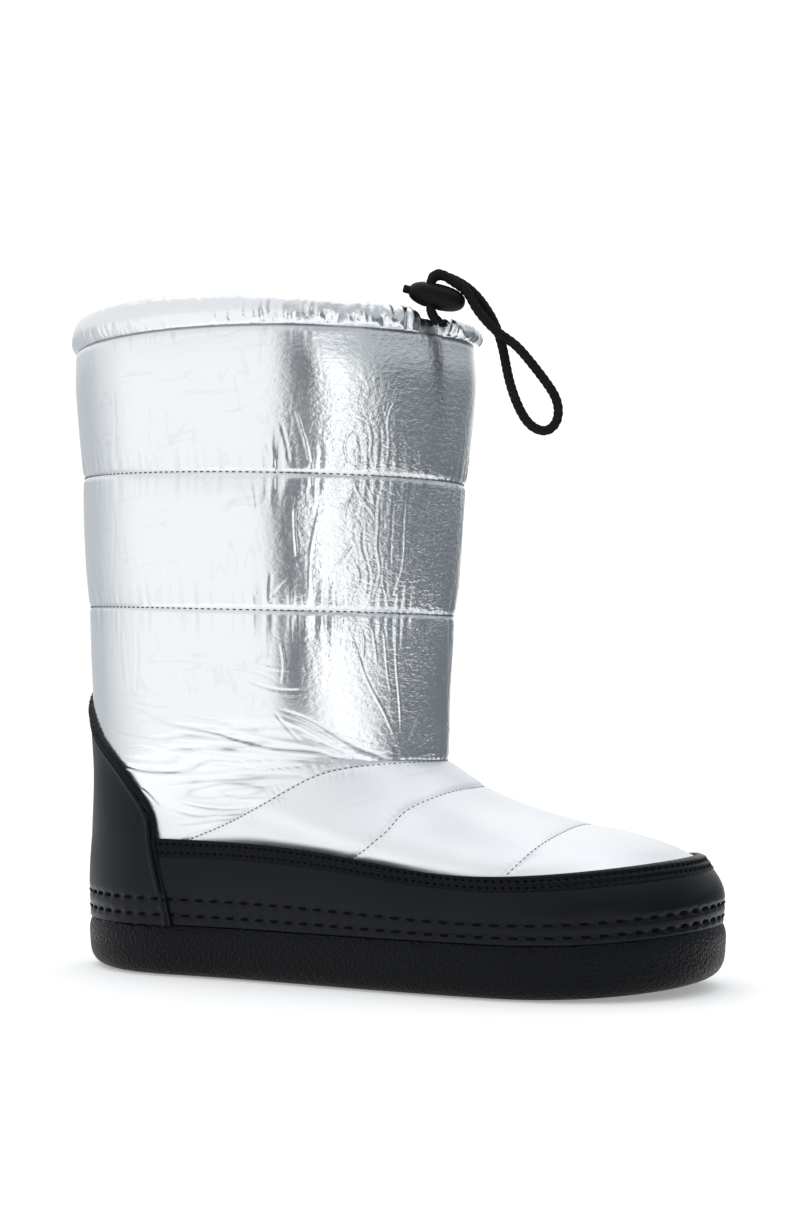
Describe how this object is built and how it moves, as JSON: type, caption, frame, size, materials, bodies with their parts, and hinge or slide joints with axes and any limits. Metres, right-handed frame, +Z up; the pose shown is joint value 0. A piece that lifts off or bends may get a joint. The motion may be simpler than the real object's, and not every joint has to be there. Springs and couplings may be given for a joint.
{
  "type": "lined bootie",
  "caption": "Calf-high padded snow boot for the right foot, quilted metallic shell, leather rand and heel counter, moulded flat sole, drawcord collar with a cord lock.",
  "frame": {"origin": "on the floor under the middle of the boot's length and width", "axes": "+X from heel to toe, +Y to the wearer's left, the inner side of this right boot, +Z up"},
  "size_m": [0.29, 0.1398, 0.2958],
  "materials": {
    "silver_foil": "metallic foil on padded cloth",
    "black_leather": "smooth, satin",
    "black_rubber": "matt, fine pebble",
    "grey_fleece": "fleece pile",
    "black_braid": "round braid",
    "black_plastic": "matt moulded"
  },
  "bodies": {
    "boot": {"outsole": "black_rubber", "insole": "grey_fleece", "upper": "silver_foil", "rand": "black_leather", "heel_counter": "black_leather", "collar_tunnel": "silver_foil", "drawcord": "black_braid", "cord_lock": "black_plastic"},
    "lock_button": {"cord_lock_button": "black_plastic"}
  },
  "joints": [
    {"name": "lock_button_press", "type": "slide", "parent": "boot", "child": "lock_button", "axis": [0.8996, 0.3635, -0.2419], "range_m": [0, 0.002], "stiffness_N_per_m": 800, "springref_m": -0.0015}
  ]
}
